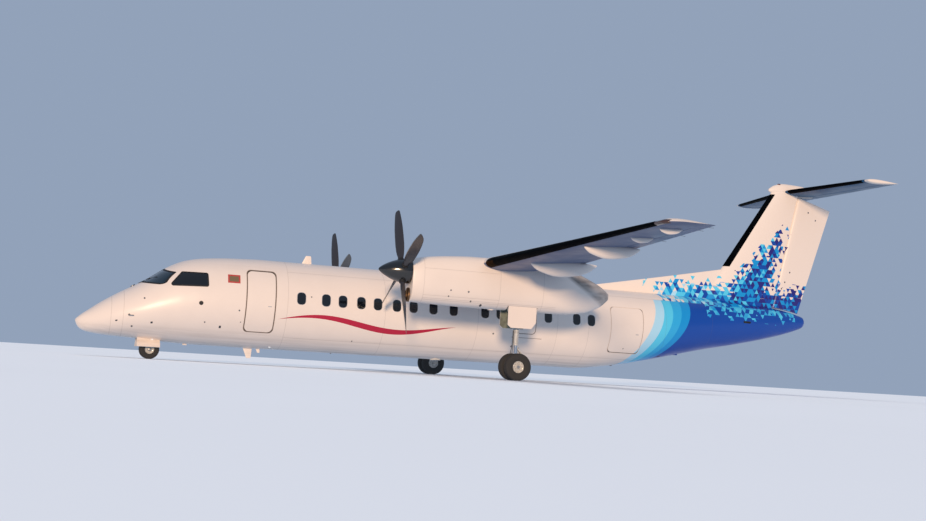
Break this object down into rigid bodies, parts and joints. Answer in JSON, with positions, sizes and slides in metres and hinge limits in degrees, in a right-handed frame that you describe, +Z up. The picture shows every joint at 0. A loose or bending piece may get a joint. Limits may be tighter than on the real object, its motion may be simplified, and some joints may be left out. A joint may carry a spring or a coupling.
{
  "type": "turboprop airliner",
  "caption": "High-wing regional airliner with a T-tail, turboprop nacelles, turning propellers, steered nose gear, opening doors and hinged control surfaces.",
  "frame": {"origin": "on the ground, under the middle of the whole aircraft", "axes": "+X aft along the fuselage, +Y to starboard, +Z up"},
  "size_m": [25.6784, 27.43, 7.49],
  "materials": {
    "airframe_paint": "gloss white paint over riveted sheet aluminium",
    "composite_paint": "gloss paint over moulded composite",
    "cockpit_glass": "dark tinted glass",
    "cabin_trim": "matt moulded trim",
    "engine_metal": "bare metal",
    "gear_metal": "grey painted steel",
    "blade_composite": "black satin composite",
    "spinner_black": "black gloss",
    "tyre_rubber": "matt rubber",
    "step_metal": "bare aluminium"
  },
  "bodies": {
    "airframe": {"radome": "composite_paint", "forward_fuselage": "airframe_paint", "centre_fuselage": "airframe_paint", "aft_fuselage": "airframe_paint", "tail_cone": "composite_paint", "wing_fairing": "composite_paint", "dorsal_fin": "composite_paint", "fin": "airframe_paint", "tailplane": "airframe_paint", "wing_centre": "airframe_paint", "instrument_panel": "cabin_trim", "nose_leg": "gear_metal", "windscreen_left": "cockpit_glass", "side_window_left": "cockpit_glass", "crew_seat_left": "cabin_trim", "emergency_exit_left": "airframe_paint", "wing_left": "airframe_paint", "inner_flap_left": "airframe_paint", "outer_flap_left": "airframe_paint", "nacelle_left": "composite_paint", "engine_left": "engine_metal", "main_leg_left": "gear_metal", "main_door_left_inner": "airframe_paint", "main_door_left_outer": "airframe_paint", "nose_door_left": "airframe_paint", "windscreen_right": "cockpit_glass", "side_window_right": "cockpit_glass", "crew_seat_right": "cabin_trim", "emergency_exit_right": "airframe_paint", "wing_right": "airframe_paint", "inner_flap_right": "airframe_paint", "outer_flap_right": "airframe_paint", "nacelle_right": "composite_paint", "engine_right": "engine_metal", "main_leg_right": "gear_metal", "main_door_right_inner": "airframe_paint", "main_door_right_outer": "airframe_paint", "nose_door_right": "airframe_paint"},
    "propeller_left": {"propeller_left": "blade_composite", "spinner_left": "spinner_black"},
    "propeller_right": {"propeller_right": "blade_composite", "spinner_right": "spinner_black"},
    "nose_steering": {"nose_steering": "gear_metal"},
    "nose_wheels": {"nose_wheels": "tyre_rubber"},
    "main_wheels_left": {"main_wheels_left": "tyre_rubber"},
    "main_wheels_right": {"main_wheels_right": "tyre_rubber"},
    "airstair_door": {"airstair_door": "airframe_paint", "airstair_steps": "step_metal"},
    "baggage_door": {"baggage_door": "airframe_paint"},
    "rudder": {"rudder": "composite_paint"},
    "elevator_left": {"elevator_left": "composite_paint"},
    "elevator_right": {"elevator_right": "composite_paint"},
    "aileron_left": {"aileron_left": "composite_paint"},
    "aileron_right": {"aileron_right": "composite_paint"}
  },
  "joints": [
    {"name": "propeller_left", "type": "hinge", "parent": "airframe", "child": "propeller_left", "pos_m": [-4.28, -3.935, 2.91], "axis": [1, 0, 0], "continuous": true},
    {"name": "propeller_right", "type": "hinge", "parent": "airframe", "child": "propeller_right", "pos_m": [-4.28, 3.935, 2.91], "axis": [1, 0, 0], "continuous": true},
    {"name": "nose_steering", "type": "hinge", "parent": "airframe", "child": "nose_steering", "pos_m": [-10.7, 0, 0.5], "axis": [0, 0, 1], "range_deg": [-60, 60]},
    {"name": "nose_wheels", "type": "hinge", "parent": "nose_steering", "child": "nose_wheels", "pos_m": [-10.7, 0, 0.2795], "axis": [0, 1, 0], "continuous": true},
    {"name": "main_wheels_left", "type": "hinge", "parent": "airframe", "child": "main_wheels_left", "pos_m": [-0.69, -3.935, 0.3935], "axis": [0, 1, 0], "continuous": true},
    {"name": "main_wheels_right", "type": "hinge", "parent": "airframe", "child": "main_wheels_right", "pos_m": [-0.69, 3.935, 0.3935], "axis": [0, 1, 0], "continuous": true},
    {"name": "airstair_door", "type": "hinge", "parent": "airframe", "child": "airstair_door", "pos_m": [-7.73, -1.034, 0.98], "axis": [1, 0, 0], "range_deg": [0, 120]},
    {"name": "baggage_door", "type": "hinge", "parent": "airframe", "child": "baggage_door", "pos_m": [4.26, -1.1275, 2.54], "axis": [-0.9996, -0.0286, 0], "range_deg": [0, 95]},
    {"name": "rudder", "type": "hinge", "parent": "airframe", "child": "rudder", "pos_m": [10.55, 0, 2.84], "axis": [0.2242, 0, 0.9746], "range_deg": [-18, 18]},
    {"name": "elevator_left", "type": "hinge", "parent": "airframe", "child": "elevator_left", "pos_m": [11.928, -0.19, 7.19], "axis": [-0.0631, 0.998, 0], "range_deg": [-25, 20]},
    {"name": "elevator_right", "type": "hinge", "parent": "airframe", "child": "elevator_right", "pos_m": [11.928, 0.19, 7.19], "axis": [0.0631, 0.998, 0], "range_deg": [-25, 20]},
    {"name": "aileron_left", "type": "hinge", "parent": "airframe", "child": "aileron_left", "pos_m": [-0.2391, -9.98, 3.5729], "axis": [0.0262, 0.9988, -0.0417], "range_deg": [-18, 18]},
    {"name": "aileron_right", "type": "hinge", "parent": "airframe", "child": "aileron_right", "pos_m": [-0.2391, 9.98, 3.5729], "axis": [-0.0262, 0.9988, 0.0417], "range_deg": [-18, 18]}
  ],
  "couplings": [
    {"joint": "elevator_right", "follows": "elevator_left", "ratio": 1},
    {"joint": "aileron_right", "follows": "aileron_left", "ratio": -1}
  ]
}
